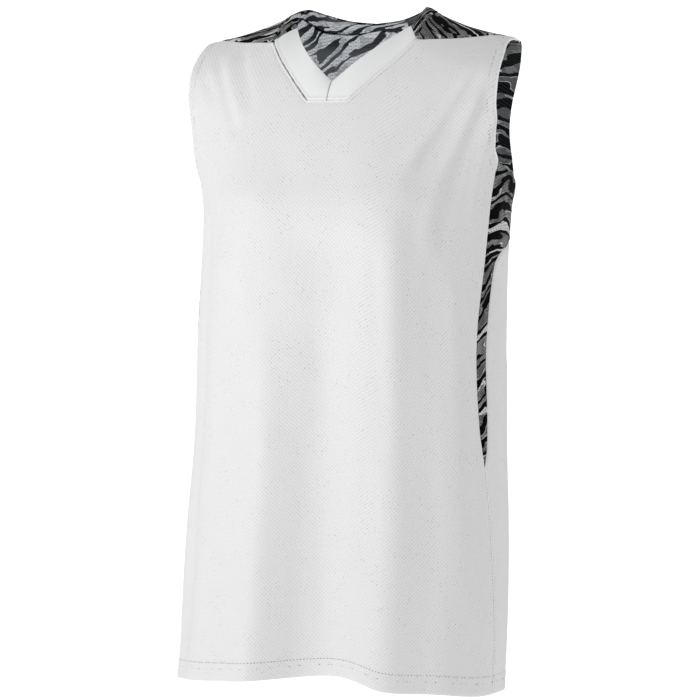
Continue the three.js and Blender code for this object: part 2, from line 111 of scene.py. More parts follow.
YOKE_FRONT_SEAM = table(
    "x travel", (NECK_HALF, 13), (100, 27), (116, 36), (134, 49), (150, 65), (SHOULDER_HALF, 79)
)
NECK_SLOPE = (NECK_FOOT_HALF, NECK_FOOT), (43, -67), (62, -46), (NECK_HALF, -28)
NECK_SIDE = (NECK_HALF, 13), (76, 43), (75.5, TO_RIDGE), (71, STRAP_START)
NECK_BACK = (71, STRAP_START), (60, 117), (34, 133), (0, 138)
COLLAR_EDGE_FRONT = (0, -78, -72), (23, -70, -51), (43, -49, -31), (60, -19, -12)
COLLAR_EDGE_BACK = (
    (60, -19, -12), (64, 0, 3), (63, 19, 11), (51, 37, 8), (28, 47, 2), (0, 50, -1)
)
HEM_LIFT = table(
    "angle lift",
    (-180, 0), (-90, -1), (-70, -1), (-42, 4), (-23, 8), (-4, 13), (12, 16), (20, 15),
    (31, 6), (53, 2), (75, -3), (105, -2), (180, 0),
)

# Folds, each a soft ridge, or a trough where its depth is negative, from its upper end to its lower
# end. First the largest, which the solids have too, then the finer ones.
FOLD_COLUMNS = "angle z to_angle to_z width to_width depth to_depth"
FOLDS = table(
    FOLD_COLUMNS,
    (5, -205, 7, -690, 32, 40, -7, -24),
    (0, -290, 4, -690, 24, 34, -4, -10),
    (30, -190, 31, -690, 15, 19, 4, 7),
    (46, -230, 47, -690, 12, 16, -1, -2),
    (-17, -280, -17, -690, 14, 17, 2, 9),
    (-42, -210, -42, -690, 16, 24, 2, 4),
    (-56, -195, -58, -690, 10, 15, -3, -4),
    (56, -60, 30, -150, 9, 13, 4, 2),
    (50, -52, 26, -132, 8, 11, -3, -1),
    (57, -90, 37, -160, 8, 11, -3, -1),
    (-53, -36, -41, -95, 8, 10, -4, -1),
    (-39, -30, -33, -62, 7, 9, -3, -1),
    (150, -200, 148, -690, 16, 24, 2, 8),
    (-152, -190, -150, -690, 16, 24, 2, 8),
    (176, -250, 178, -690, 16, 26, -3, -9),
    (120, -240, 122, -690, 12, 18, -2, -6),
    (-122, -250, -120, -690, 12, 18, -2, -6),
)
FINE_FADE = 22
FINE_FOLDS = table(
    FOLD_COLUMNS,
    # from the left armhole down to the bust
    (46, -56, 33, -142, 6, 7, 2.3, 1.5),
    (50, -58, 38, -146, 6, 7, -2.3, -1.4),
    (51, -76, 43, -224, 6, 9, 3.2, 1.4),
    (56, -80, 50, -228, 6, 9, -3.4, -1.4),
    (61, -92, 64, -200, 5, 6, 3.0, 1.6),
    (68, -106, 70, -205, 4, 5, -1.6, -0.8),
    # below the right shoulder and beside the right armhole
    (-60, -70, -46, -150, 6, 9, 1.4, 0.5),
    (-63, -100, -50, -190, 6, 9, -1.3, -0.5),
    (-43, -34, -34, -112, 5, 7, -3.4, -1.6),
    (-38, -32, -31, -100, 5, 6, 2.4, 1.2),
    (-34, -24, -27, -86, 5, 6, -3.2, -1.6),
    # across the front below the bust
    (-30, -235, -18, -420, 9, 14, 1.0, 0.8),
    (24, -230, 27, -420, 6, 9, -1.2, -0.8),
    (55, -260, 58, -430, 6, 9, 1.2, 0.7),
    (62, -330, 66, -560, 5, 9, -1.0, -0.9),
    (-66, -300, -68, -600, 6, 10, 1.0, 1.0),
    (-24, -420, -22, -690, 8, 14, 1.0, 1.6),
    (-15, -400, -15, -690, 9, 11, 0.8, 3.0),
    (-4.5, -400, -4, -690, 10, 13, -0.8, -3.2),
    (12, -420, 13, -690, 11, 12, -0.6, -3.6),
    (27, -430, 27, -690, 8, 9, 0.3, 1.4),
    # down the back
    (164, -230, 166, -560, 9, 14, 1.2, 1.0),
    (-167, -240, -165, -600, 9, 14, 1.2, 1.2),
    (134, -215, 132, -500, 8, 12, -1.2, -1.0),
    (-136, -215, -134, -520, 8, 12, -1.2, -1.0),
    (-92, -330, -96, -690, 8, 14, 1.2, 2.2),
    (95, -330, 99, -690, 8, 14, 1.2, 2.2),
    (-108, -300, -106, -650, 7, 11, -1.0, -1.4),
    (108, -290, 110, -650, 7, 11, -1.0, -1.4),
)


# The cloth's surface.

def smoothstep(value, low, high):
    t = np.clip((value - low) / (high - low), 0, 1)
    return t * t * (3 - 2 * t)


def mixed(start, end, share):
    return start + (end - start) * share


def look_up(rows, key, column, place):
    """A column of a table at a place, on a smooth curve through its rows."""
    keys, values = rows[key], rows[column]
    place = np.clip(place, keys[0], keys[-1])
    after = np.minimum(np.arange(len(keys)) + 1, len(keys) - 1)
    before = np.maximum(np.arange(len(keys)) - 1, 0)
    slopes = (values[after] - values[before]) / (keys[after] - keys[before])
    i = np.clip(np.searchsorted(keys, place, side="right") - 1, 0, len(keys) - 2)
    span = keys[i + 1] - keys[i]
    t = (place - keys[i]) / span
    leave = (t**3 - 2 * t**2 + t) * span * slopes[i]
    arrive = (t**3 - t**2) * span * slopes[i + 1]
    return mixed(values[i], values[i + 1], 3 * t**2 - 2 * t**3) + leave + arrive


def section(column, z):
    return look_up(SECTIONS, "z", column, z)


def shoulder(column, x):
    return look_up(SHOULDER_LINE, "x", column, np.abs(x))


def wrapped(angle):
    return (angle + 540) % 360 - 180


def fold_rise(folds, fade, angle, z):
    """How far the folds move the cloth out."""
    rise = 0
    for start, top, end, foot, width, to_width, depth, to_depth in zip(*folds.values()):
        t = np.clip((top - z) / (top - foot), 0, 1)
        share = wrapped(angle - mixed(start, end, t)) * MM_PER_DEGREE / mixed(width, to_width, t)
        grown = smoothstep(top - z, 0, fade) * (1 - smoothstep(foot - z, 0, fade))
        rise = rise + mixed(depth, to_depth, t) * np.exp(-share * share) * grown
    return rise


def uneven(angle, z):
    """The slight unevenness of hanging cloth."""
    turn = np.radians(angle)
    return (
        0.35 * np.sin(7 * turn + z / 61 + 1.3)
        + 0.28 * np.sin(11 * turn - z / 37 + 0.4)
        + 0.22 * np.sin(17 * turn + z / 29 + 2.2 + np.sin(5 * turn))
    )


def outline(angle, z):
    """The garment's outline at an angle and height, before it turns over the shoulder."""
    turn = np.radians(angle)
    sine, cosine = np.sin(turn), np.cos(turn)
    x = section("half_width", z) * sine
    behind = section("back", z) * np.abs(cosine) ** BACK_ROUND
    before = section("front", z) * np.abs(cosine) ** section("round", z)
    across = (np.abs(x) - BUST_ACROSS) / BUST_WIDTH
    along = (z - BUST_Z) / np.where(z > BUST_Z, BUST_ABOVE, BUST_BELOW)
    bust = BUST_RISE * np.exp(-across * across - along * along)
    y = np.where(cosine < 0, behind, -before - bust)
    rise = fold_rise(FOLDS, FOLD_FADE, angle, z) + fold_rise(FINE_FOLDS, FINE_FADE, angle, z)
    rise = rise + uneven(angle, z)
    return np.stack([x + section("lean", z) + rise * sine, y - rise * cosine, z], -1)


def on_body(angle, z):
    """A point by its angle and height; the hem's departure from level fades out above."""
    below = np.clip((SIDE_PANEL_TIP - z) / (SIDE_PANEL_TIP - HEM), 0, 1)
    return outline(angle, z + below * look_up(HEM_LIFT, "angle", "lift", wrapped(angle)))


def travel_at(x, z, front):
    """The travel over the shoulder that reaches a height."""
    rise = z - (shoulder("z", x) - SHOULDER_DROP)
    turned = SHOULDER_DROP * np.arcsin(np.clip(rise / SHOULDER_DROP, -1, 1))
    travel = np.where(rise < 0, rise, turned)
    return travel if front else OVER_RIDGE - travel


def on_shoulder(x, travel):
    """A point by its distance across and its travel over the shoulder."""
    foot = shoulder("z", x) - SHOULDER_DROP
    z = foot + SHOULDER_DROP * np.sin(np.clip(travel, 0, OVER_RIDGE) / SHOULDER_DROP)
    z = z + np.minimum(travel, 0) - np.maximum(travel - OVER_RIDGE, 0)
    angle = np.degrees(np.arcsin(np.clip(x / section("half_width", z), -1, 1)))
    side = outline(np.where(travel < TO_RIDGE, angle, 180 - angle), z)
    turning = (travel > 0) & (travel < OVER_RIDGE)
    share = np.where(turning, np.abs(np.cos(travel / SHOULDER_DROP)), 1)
    return np.stack(
        [mixed(x, side[..., 0], share), mixed(shoulder("y", x), side[..., 1], share), z], -1
    )


def unit(vectors):
    return vectors / np.maximum(np.linalg.norm(vectors, axis=-1, keepdims=True), 1e-9)


def slopes_of(surface, places):
    """How a surface's points move for each unit of both coordinates."""
    a, b = places[..., 0], places[..., 1]
    along_a = surface(a + NEAR, b) - surface(a - NEAR, b)
    along_b = surface(a, b + NEAR) - surface(a, b - NEAR)
    return along_a / (2 * NEAR), along_b / (2 * NEAR)


def on_cloth(surface, places):
    """Points of the cloth with their outward normals."""
    along_a, along_b = slopes_of(surface, places)
    return surface(places[..., 0], places[..., 1]), unit(np.cross(along_a, along_b))


# Lines and patches of cloth.

FINE = 5
TIGHT = (0.12, 0.3, 0.6)


def shares(steps, tight_start=False, tight_end=False, fine=FINE):
    """Equal shares of a line, with closer ones at an end that is sewn or turned."""
    even = np.linspace(0, 1, steps * fine + 1)
    close = np.array(TIGHT) * even[1]
    extra = [close] * tight_start + [1 - close] * tight_end
    return np.unique(np.concatenate([even, *extra]))


def straight_line(start, end, at):
    return mixed(np.array(start, float), np.array(end, float), at[:, None])


def smooth_line(points, at):
    """Places at shares of the length of a smooth line through some points."""
    p = np.array(points, float)
    p = np.vstack([2 * p[0] - p[1], p, 2 * p[-1] - p[-2]])
    gap = np.sqrt(np.linalg.norm(np.diff(p, axis=0), axis=1))
    t = np.linspace(0, 1, 60)[:, None]
    line = [p[1:2]]
    for k in range(1, len(p) - 2):
        chord = p[k + 1] - p[k]
        leave = (p[k] - p[k - 1]) / gap[k - 1] - (p[k + 1] - p[k - 1]) / (gap[k - 1] + gap[k])
        leave = leave * gap[k] + chord
        arrive = (p[k + 2] - p[k + 1]) / gap[k + 1] - (p[k + 2] - p[k]) / (gap[k] + gap[k + 1])
        arrive = arrive * gap[k] + chord
        curve = p[k] + leave * t + (3 * chord - 2 * leave - arrive) * t**2
        line.append((curve + (leave + arrive - 2 * chord) * t**3)[1:])
    line = np.vstack(line)
    run = np.concatenate([[0], np.cumsum(np.linalg.norm(np.diff(line, axis=0), axis=1))])
    return np.stack([np.interp(at * run[-1], run, column) for column in line.T], -1)


def to_shoulder(line, front):
    """Moves places from angle and height to distance across and travel."""
    x = section("half_width", line[:, 1]) * np.sin(np.radians(line[:, 0]))
    return np.stack([x, travel_at(x, line[:, 1], front)], -1)


def fill(lower, upper, inner, outer, at=None):
    """Fills a patch between four lines of places: two that run across and two that rise."""
    s = ((upper[:, 0] - upper[0, 0]) / (upper[-1, 0] - upper[0, 0]))[None, :, None]
    t = (np.linspace(0, 1, len(inner)) if at is None else at)[:, None, None]
    patch = mixed(inner[:, None], outer[:, None], s) + mixed(lower[None], upper[None], t)
    patch = patch - mixed(mixed(lower[0], lower[-1], s), mixed(upper[0], upper[-1], s), t)
    patch[:, 0], patch[:, -1], patch[0], patch[-1] = inner, outer, lower, upper
    return patch


def place(patch, surface, side):
    """A patch's points and normals: on the wearer's left (1), right (-1) or both (0)."""
    left = np.stack(on_cloth(surface, patch))
    right = np.stack(on_cloth(surface, patch * (-1, 1)))
    if side:
        return left if side > 0 else right
    return np.concatenate([right[:, :, :0:-1], left], axis=2)


STEPS = dict(
    neck_foot=2, neck_slope=5, neck_side=6, neck_back=6, shoulder=8, side_seam=12, rear_seam=10,
    rear_seam_turn=4, side_yoke=3, armhole_front=9, armhole_back=9, side_panel=5, collar=3,
)
shoulder_shares = shares(STEPS["shoulder"], True, True)
neck_slope = smooth_line(NECK_SLOPE, shares(STEPS["neck_slope"]))
neck_slope[:, 1] = travel_at(neck_slope[:, 0], neck_slope[:, 1], True)
neck_foot = straight_line(
    (0, NECK_FOOT), (NECK_FOOT_HALF, NECK_FOOT), shares(STEPS["neck_foot"], tight_start=True)
)
neck_foot[:, 1] = travel_at(neck_foot[:, 0], neck_foot[:, 1], True)
neck_front = np.vstack([neck_foot[:-1], neck_slope])
neck_side = smooth_line(NECK_SIDE, shares(STEPS["neck_side"], tight_start=True))
neck_back = smooth_line(NECK_BACK, shares(STEPS["neck_back"]))
yoke_front = straight_line((NECK_HALF, 0), (SHOULDER_HALF, 0), shoulder_shares)
yoke_front[:, 1] = look_up(YOKE_FRONT_SEAM, "x", "travel", yoke_front[:, 0])
neck_front[-1] = neck_side[0] = yoke_front[0]

side_seam_shares = shares(STEPS["side_seam"], tight_start=True)
rear_seam_shares = shares(STEPS["rear_seam"])
side_yoke_shares = shares(STEPS["side_yoke"], True, True)
side_seam = straight_line((0, HEM), (0, SIDE_PANEL_TIP), side_seam_shares)
side_seam[:, 0] = look_up(FRONT_SEAM, "z", "angle", side_seam[:, 1])
rear_seam = smooth_line(REAR_SEAM, rear_seam_shares)
rear_seam_turn = smooth_line(REAR_SEAM_TURN, shares(STEPS["rear_seam_turn"]))
side_yoke = straight_line(
    (SIDE_YOKE_ANGLE, -220), (SIDE_YOKE_ANGLE, ARMHOLE_BACK_FOOT), side_yoke_shares
)
side_panel_rear = np.vstack([rear_seam, rear_seam_turn[1:], side_yoke[1:]])
side_panel_steps = [STEPS[name] for name in ("rear_seam", "rear_seam_turn", "side_yoke")]
side_panel_shares = np.concatenate([
    rear_seam_shares * side_panel_steps[0],
    side_panel_steps[0] + shares(STEPS["rear_seam_turn"])[1:] * side_panel_steps[1],
    sum(side_panel_steps[:2]) + side_yoke_shares[1:] * side_panel_steps[2],
]) / sum(side_panel_steps)
side_panel_front = straight_line((0, SIDE_PANEL_TIP), (0, ARMHOLE_FRONT_FOOT), side_panel_shares)
side_panel_front[:, 0] = look_up(FRONT_SEAM, "z", "angle", side_panel_front[:, 1])
yoke_shares = np.concatenate([
    shares(STEPS["neck_back"]) * STEPS["neck_back"],
    STEPS["neck_back"] + shoulder_shares[1:] * STEPS["shoulder"],
]) / (STEPS["neck_back"] + STEPS["shoulder"])
yoke_lower = straight_line((180, 0), (SIDE_YOKE_ANGLE, 0), yoke_shares)
yoke_lower[:, 1] = look_up(YOKE_LOWER_SEAM, "angle", "z", yoke_lower[:, 0])


def armhole_edge(rows, start, end, at):
    """An armhole's edge between two places, bowed as its table's distances across are."""
    line = straight_line(start, end, at)
    ends = [look_up(rows, "travel", "x", place[1]) for place in (start, end)]
    line[:, 0] += look_up(rows, "travel", "x", line[:, 1]) - mixed(*ends, at)
    return line


def front_patches():
    upper = np.vstack([neck_front, yoke_front[1:]])
    outer = np.vstack([side_seam, side_panel_front[1:]])
    foot_angle, foot_z = outer[-1]
    reach = np.clip(upper[:, 0] / section("half_width", foot_z), -1, 1)
    across = np.degrees(np.arcsin(reach))
    across = across / across[-1]
    hem = np.stack([across * SIDE_SEAM_AT_HEM, np.full_like(across, HEM)], -1)
    level = np.stack([across * foot_angle, np.full_like(across, foot_z)], -1)
    body = fill(hem, level, outer * (0, 1), outer)
    start = to_shoulder(level, True)
    at = shares(STEPS["armhole_front"], tight_end=True)
    edge = armhole_edge(ARMHOLE_FRONT, start[-1], upper[-1], at)
    chest = fill(start, upper, straight_line(start[0], upper[0], at), edge, at)
    return body, chest, edge


def back_patch():
    upper = np.vstack([yoke_lower, rear_seam_turn[::-1][1:]])
    outer = np.vstack([side_seam, rear_seam[1:]])
    corner_angle, corner_z = upper[-1]
    hem = np.stack(
        [mixed(180, SIDE_SEAM_AT_HEM, (180 - upper[:, 0]) / (180 - corner_angle)),
         np.full(len(upper), HEM)], -1,
    )
    rise = mixed(HEM, upper[0, 1], (outer[:, 1] - HEM) / (corner_z - HEM))
    centre = np.stack([np.full(len(outer), 180), rise], -1)
    steps = STEPS["side_seam"], STEPS["rear_seam"]
    at = np.concatenate([side_seam_shares * steps[0], steps[0] + rear_seam_shares[1:] * steps[1]])
    return fill(hem, upper, centre, outer, at / sum(steps))


def yoke_patches():
    level = np.stack([yoke_lower[:, 0], np.full(len(yoke_lower), ARMHOLE_BACK_FOOT)], -1)
    spine = straight_line(yoke_lower[0], level[0], side_yoke_shares)
    body = fill(yoke_lower, level, spine, side_yoke, side_yoke_shares)
    start = to_shoulder(level, False)
    strap_edge = look_up(ARMHOLE_BACK, "travel", "x", STRAP_START)
    strap_foot = straight_line(
        (neck_back[0, 0], STRAP_START), (strap_edge, STRAP_START), shoulder_shares
    )
    upper = np.vstack([neck_back[::-1], strap_foot[1:]])
    at = shares(STEPS["armhole_back"], tight_end=True)
    edge = armhole_edge(ARMHOLE_BACK, start[-1], upper[-1], at)
    back = fill(start, upper, straight_line(start[0], upper[0], at), edge, at)
    rising = shares(STEPS["neck_side"], tight_start=True)
    tip = straight_line(strap_foot[-1], yoke_front[-1], (1 - rising)[::-1])
    strap = fill(strap_foot, yoke_front, neck_side[::-1], tip, (1 - rising)[::-1])
    return body, back, strap, edge, tip


def side_patch():
    tip = np.repeat(side_panel_front[:1], len(shares(STEPS["side_panel"], True, True)), axis=0)
    armhole = straight_line(
        side_panel_front[-1], side_panel_rear[-1], shares(STEPS["side_panel"], True, True)
    )
    return fill(tip, armhole, side_panel_front, side_panel_rear, side_panel_shares), armhole


front_body, front_chest, armhole_front = front_patches()
yoke_body, yoke_back, yoke_strap, armhole_back, armhole_top = yoke_patches()
side_body, armhole_foot = side_patch()


# Sewn lines, and the relief they make.

def mirrored(line):
    return line * (-1, 1)


def along_cloth(surface, line, both=True):
    """A line's points on the wearer's left, and on the right where both are asked for."""
    sides = [line, mirrored(line)] if both else [line]
    return [on_cloth(surface, side)[0] for side in sides]


def nearest(lines):
    """A finder of the nearest place on some lines of points."""
    dense = []
    for line in lines:
        for start, end in zip(line[:-1], line[1:]):
            steps = max(1, math.ceil(np.linalg.norm(end - start) / 0.6))
            dense.append(mixed(start, end, np.linspace(0, 1, steps, endpoint=False)[:, None]))
        dense.append(line[-1:])
    dense = np.vstack(dense)
    tree = KDTree(len(dense))
    for i, point in enumerate(dense):
        tree.insert(point, i)
    tree.balance()
    return tree


hem_places = straight_line((-180, HEM), (180, HEM), np.linspace(0, 1, 900))
hem_line = [on_cloth(on_body, hem_places)[0]]
armhole_lines = (
    along_cloth(on_shoulder, armhole_front)
    + along_cloth(on_shoulder, armhole_back)
    + along_cloth(on_shoulder, armhole_top)
    + along_cloth(on_body, armhole_foot)
)
neck_lines = (
    along_cloth(on_shoulder, neck_front)
    + along_cloth(on_shoulder, neck_side)
    + along_cloth(on_shoulder, neck_back)
)
panel_seams = (
    along_cloth(on_body, side_seam)
    + along_cloth(on_body, side_panel_front)
    + along_cloth(on_body, side_panel_rear)
    + along_cloth(on_body, yoke_lower)
    + along_cloth(on_shoulder, yoke_front)
)
LINES = dict(
    hem=nearest(hem_line), armhole=nearest(armhole_lines), neck=nearest(neck_lines),
    seam=nearest(panel_seams),
)

HEM_ROWS = 12, 18
ARMHOLE_ROW = 9
SEAM_ROW = 3.4


def away(points):
    """Each point's distance from each kind of line, in millimetres."""
    flat = points.reshape(-1, 3)
    return {
        name: np.array([tree.find(point)[2] for point in flat]).reshape(points.shape[:-1])
        for name, tree in LINES.items()
    }


def ridge(distance, middle, width):
    return np.exp(-(((distance - middle) / width) ** 2))


def relief(distance, run):
    """How far the cloth stands out near its turned edges and seams."""
    hem, armhole, neck, seam = (distance[name] for name in ("hem", "armhole", "neck", "seam"))
    pucker = np.sin(run * 0.62) + 0.6 * np.sin(run * 0.41 + 1.1)
    out = 0.5 * (1 - smoothstep(hem, HEM_ROWS[1], HEM_ROWS[1] + 3))
    out = out - 0.45 * (ridge(hem, HEM_ROWS[0], 1.6) + ridge(hem, HEM_ROWS[1], 1.6))
    out = out + 0.16 * pucker * ridge(hem, 14, 9) - 0.7 * ridge(hem, 0, 1.2)
    out = out + 0.45 * (1 - smoothstep(armhole, ARMHOLE_ROW, ARMHOLE_ROW + 2.5))
    out = out - 0.5 * ridge(armhole, ARMHOLE_ROW, 1.4) - 0.25 * ridge(armhole, 0, 1.0)
    out = out + 0.12 * pucker * ridge(armhole, 5, 6)
    out = out - 1.0 * ridge(seam, 0, 1.1) + 0.35 * ridge(seam, 3, 2)
    out = out + 0.1 * pucker * ridge(seam, 3, 5)
    return out - 1.5 * ridge(neck, 0, 0.7) + 0.7 * ridge(neck, 1.7, 0.9) - 0.4 * ridge(neck, 3.4, 0.9)


# Pieces of cloth.

def run_along(points, axis):
    """The length along a grid of points from its first row or column."""
    steps = np.linalg.norm(np.diff(points, axis=axis), axis=-1)
    run = np.cumsum(steps, axis=axis)
    return np.concatenate([np.zeros_like(run[:, :1] if axis else run[:1]), run], axis=axis)


def cloth_grid(bm, points, normals, cloth, distance):
    """One patch of cloth as a grid whose corners are moved to the points."""
    rows, columns = points.shape[:2]
    made = bmesh.ops.create_grid(bm, x_segments=columns - 1, y_segments=rows - 1, size=1)
    uv = bm.loops.layers.uv["cloth"]
    edges = bm.verts.layers.float_vector["edges"]
    where = {}
    for vert in made["verts"]:
        i = round((vert.co.x + 1) / 2 * (columns - 1))
        j = round((vert.co.y + 1) / 2 * (rows - 1))
        where[vert] = j, i
        vert.co = points[j, i] * MM
        vert[edges] = distance[:, j, i]
    bm.normal_update()
    faces = {face for vert in made["verts"] for face in vert.link_faces}
    for face in faces:
        for loop in face.loops:
            loop[uv].uv = cloth[where[loop.vert]] * MM
    centre = made["verts"][len(where) // 2]
    if centre.normal.dot(Vector(normals[where[centre]])) < 0:
        bmesh.ops.reverse_faces(bm, faces=list(faces))


def cloth_piece(name, patches, thickness, outer, inner, node):
    """A sewn piece of cloth from its patches, thickened inwards."""
    bm = bmesh.new()
    bm.loops.layers.uv.new("cloth")
    bm.verts.layers.float_vector.new("edges")
    for points, normals, cloth, distance in patches:
        cloth_grid(bm, points, normals, cloth, distance)
    bmesh.ops.remove_doubles(bm, verts=bm.verts, dist=0.02 * MM)
    for face in bm.faces:
        face.smooth = True
    mesh = bpy.data.meshes.new(name)
    bm.to_mesh(mesh)
    bm.free()
    for material in (outer, inner):
        mesh.materials.append(material)
    piece = bpy.data.objects.new(name, mesh)
    bpy.context.scene.collection.objects.link(piece)
    wall = piece.modifiers.new("wall", "SOLIDIFY")
    wall.thickness, wall.offset = thickness * MM, -1
    wall.material_offset, wall.material_offset_rim = 1, 0
    rounding = piece.modifiers.new("rounded edges", "BEVEL")
    rounding.width, rounding.segments = thickness * 0.3 * MM, 2
    rounding.limit_method, rounding.angle_limit = "ANGLE", math.radians(55)
    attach(piece, "root")
    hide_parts(node)
    return piece


def dressed(placed, cloth=None, raised=0):
    """A patch with its relief, its lengths along the cloth and its distances from its edges."""
    points, normals = placed
    distance = away(points)
    if cloth is None:
        across = run_along(points, 1)
        across = across - across[:, across.shape[1] // 2][:, None]
        cloth = np.stack([across, run_along(points, 0)], -1)
    out = relief(distance, cloth[..., 0] + cloth[..., 1]) + raised
    kinds = np.stack([distance[k] for k in ("neck", "armhole", "seam")]) * MM
    return points + normals * out[..., None], normals, cloth, kinds


def joined(lower, upper):
    """Two placed patches, one above the other, as one grid."""
    return np.concatenate([lower, upper[:, 1:]], axis=1)


def strap_patch(side, back):
    """A shoulder strap of the yoke, with the back's lengths carried on up it."""
    placed = place(yoke_strap, on_shoulder, side)
    across, along = back[2][-1, :, 0], back[2][-1, :, 1]
    count = yoke_strap.shape[1]
    foot = slice(-count, None) if side > 0 else slice(count - 1, None, -1)
    points = placed[0]
    lengths = across[foot][0] + side * run_along(points, 1)
    cloth = np.stack([lengths, along[foot] + run_along(points, 0)], -1)
    return dressed(placed, cloth)


def collar_patch(side, start, end):
    """The neckband on one side, from the neck seam to its free edge."""
    seam = np.vstack([neck_front, neck_side[1:], neck_back[1:]])
    edge = np.vstack([
        smooth_line(COLLAR_EDGE_FRONT, np.linspace(0, 1, len(neck_front))),
        smooth_line(COLLAR_EDGE_BACK, np.linspace(0, 1, len(neck_side) + len(neck_back) - 1))[1:],
    ])
    outer, seam_normals = on_cloth(on_shoulder, seam * (side, 1))
    inner = edge * (side, 1, 1)
    at = shares(STEPS["collar"], True, True)[:, None, None]
    points = mixed(outer[None], inner[None], at)
    normals = np.cross(np.gradient(points, axis=1), (inner - outer)[None]) * side
    normals[0] = seam_normals
    normals[:, [0, -1], 0] = 0
    normals = unit(normals)
    points = points + normals * COLLAR_ROLL * 4 * at * (1 - at)
    return np.stack([points, normals])[:, :, start:end]


# Finishes.

class Wire:
    """A socket in a material's nodes, on which plain arithmetic adds Math nodes."""

    def __init__(self, tree, socket=None):
        self.tree, self.socket = tree, socket

    def node(self, kind, settings=None, inputs=None, output=0):
        """Adds a node: its settings first, then the values or links of its sockets."""
        made = self.tree.nodes.new(kind)
        for name, value in (settings or {}).items():
            setattr(made, name, value)
        for key, value in (inputs or {}).items():
            if isinstance(value, Wire):
                self.tree.links.new(value.socket, made.inputs[key])
            else:
                made.inputs[key].default_value = value
        return Wire(self.tree, made.outputs[output])

    def math(self, operation, *values):
        inputs = dict(enumerate((self, *values)))
        return self.node("ShaderNodeMath", {"operation": operation}, inputs)

    def __add__(self, other):
        return self.math("ADD", other)

    def __sub__(self, other):
        return self.math("SUBTRACT", other)

    def __rsub__(self, other):
        return self.node("ShaderNodeMath", {"operation": "SUBTRACT"}, {0: other, 1: self})

    def __mul__(self, other):
        return self.math("MULTIPLY", other)

    def __truediv__(self, other):
        return self.math("DIVIDE", other)

    __radd__, __rmul__ = __add__, __mul__

    def step(self, low, high):
        """0 below low and 1 above high, or the other way round, with a smooth turn."""
        settings = {"interpolation_type": "SMOOTHSTEP"}
        inputs = {"Value": self, "From Min": low, "From Max": high, "To Min": 0.0, "To Max": 1.0}
        if low > high:
            inputs.update({"From Min": high, "From Max": low, "To Min": 1.0, "To Max": 0.0})
        return self.node("ShaderNodeMapRange", settings, inputs)

    def mix(self, start, end):
        """Mixes two colours by this share."""
        inputs = {0: self, 6: start, 7: end}
        return self.node("ShaderNodeMix", {"data_type": "RGBA"}, inputs, output=2)


def grey(level, blue=0.0):
    """A colour from a screen grey of 0 to 255, with a little blue."""
    def linear(value):
        share = value / 255
        return ((share + 0.055) / 1.055) ** 2.4 if share > 0.04045 else share / 12.92
    return linear(level), linear(level + 0.4 * blue), linear(level + blue), 1.0


def finish(name, colour_of, specular=0.3, glow=0.0):
    """A cloth material whose maker is given its wires, and returns colour, roughness and height.

    The glow is painted light: the cloth emits this share of its own colour, standing in for light
    that comes through thin cloth from behind.
    """
    material = bpy.data.materials.new(name)
    material.use_nodes = True
    tree = material.node_tree
    shader = tree.nodes["Principled BSDF"]
    wire = Wire(tree)
    uv = wire.node("ShaderNodeUVMap", {"uv_map": "cloth"})
    colour, rough, height = colour_of(wire, uv)
    tree.links.new(colour.socket, shader.inputs["Base Color"])
    tree.links.new(rough.socket, shader.inputs["Roughness"])
    bumped = wire.node("ShaderNodeBump", None, {"Strength": 1.0, "Distance": 1.0, "Height": height})
    tree.links.new(bumped.socket, shader.inputs["Normal"])
    shader.inputs["Specular IOR Level"].default_value = specular
    # Painted light: the cloth emits a share of its own colour.
    if glow:
        tree.links.new(colour.socket, shader.inputs["Emission Color"])
        shader.inputs["Emission Strength"].default_value = glow
    return material


def uv_parts(wire, uv):
    """The lengths across and along the cloth, in metres."""
    parts = {0: uv}
    across = wire.node("ShaderNodeSeparateXYZ", None, parts, output=0)
    along = wire.node("ShaderNodeSeparateXYZ", None, parts, output=1)
    return across, along


def from_edges(wire):
    """The distances from the neck seam, the armhole's edge and the nearest panel seam, in metres."""
    edges = wire.node("ShaderNodeAttribute", {"attribute_name": "edges"}, output=1)
    return [wire.node("ShaderNodeSeparateXYZ", None, {0: edges}, output=i) for i in range(3)]


def holes(across, along, wide, tall, size):
    """Rows of small holes, every other row moved half a step: 1 in a hole and 0 between."""
    def wave(share, shift):
        return (share * (2 * math.pi) + shift).math("COSINE")
    u, v = across / wide, along / tall
    first = wave(u, 0.0) + wave(v, 0.0)
    second = wave(u, math.pi) + wave(v, math.pi)
    return first.math("MAXIMUM", second).step(2 - size, 2.0 - size * 0.25)


def ribs(along, pitch):
    """Fine ribs of knit: 1 on a rib's crown and 0 between."""
    return (along * (2 * math.pi / pitch)).math("COSINE") * 0.5 + 0.5


def noise(wire, vector, scale, detail=2.0, roughness=0.5):
    inputs = {"Vector": vector, "Scale": scale, "Detail": detail, "Roughness": roughness}
    return wire.node("ShaderNodeTexNoise", {"noise_dimensions": "3D"}, inputs)


